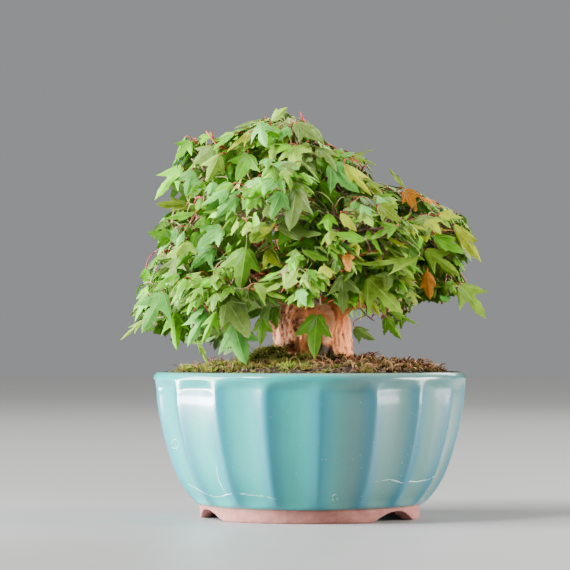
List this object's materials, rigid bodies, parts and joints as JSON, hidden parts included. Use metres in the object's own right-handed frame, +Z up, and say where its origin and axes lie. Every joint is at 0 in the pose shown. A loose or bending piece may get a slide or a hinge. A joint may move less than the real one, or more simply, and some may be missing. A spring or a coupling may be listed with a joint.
{
  "type": "trident maple bonsai",
  "caption": "Small bonsai maple tree with a thick tapering trunk, spreading boughs and a full crown of lobed green leaves, planted in a round fluted glazed pot on clay feet.",
  "frame": {"origin": "under the middle of the whole plant, on the surface that the pot's feet stand on", "axes": "+Z up, +X to the viewer's right, +Y away from the side that the picture shows"},
  "size_m": [0.2153, 0.1798, 0.2352],
  "materials": {
    "glaze": "gloss",
    "clay": "matte",
    "earth": "matte",
    "moss": "matte",
    "bark": "matte",
    "leaf": "satin"
  },
  "bodies": {
    "root": {"pot": "glaze", "foot_1": "clay", "foot_2": "clay", "foot_3": "clay", "soil": "earth", "moss_cushion_1": "moss", "moss_cushion_2": "moss", "moss_cushion_3": "moss", "moss_cushion_4": "moss", "moss_cushion_5": "moss", "trunk": "bark", "bough_left_shoulder": "bark", "bough_left": "bark", "bough_left_low": "bark", "bough_right_shoulder": "bark", "bough_right": "bark", "bough_right_low": "bark", "bough_right_inner": "bark", "bough_front_high": "bark", "bough_front_left": "bark", "bough_front_right": "bark", "bough_front_low": "bark", "bough_back_high": "bark", "bough_back_left": "bark", "bough_back_right": "bark", "bough_back_low": "bark", "foliage_apex": "leaf", "foliage_left_shoulder": "leaf", "foliage_left": "leaf", "foliage_left_low": "leaf", "foliage_right_shoulder": "leaf", "foliage_right": "leaf", "foliage_right_low": "leaf", "foliage_right_inner": "leaf", "foliage_front_high": "leaf", "foliage_front_left": "leaf", "foliage_front_right": "leaf", "foliage_front_low": "leaf", "foliage_back_high": "leaf", "foliage_back_left": "leaf", "foliage_back_right": "leaf", "foliage_back_low": "leaf"}
  },
  "joints": []
}
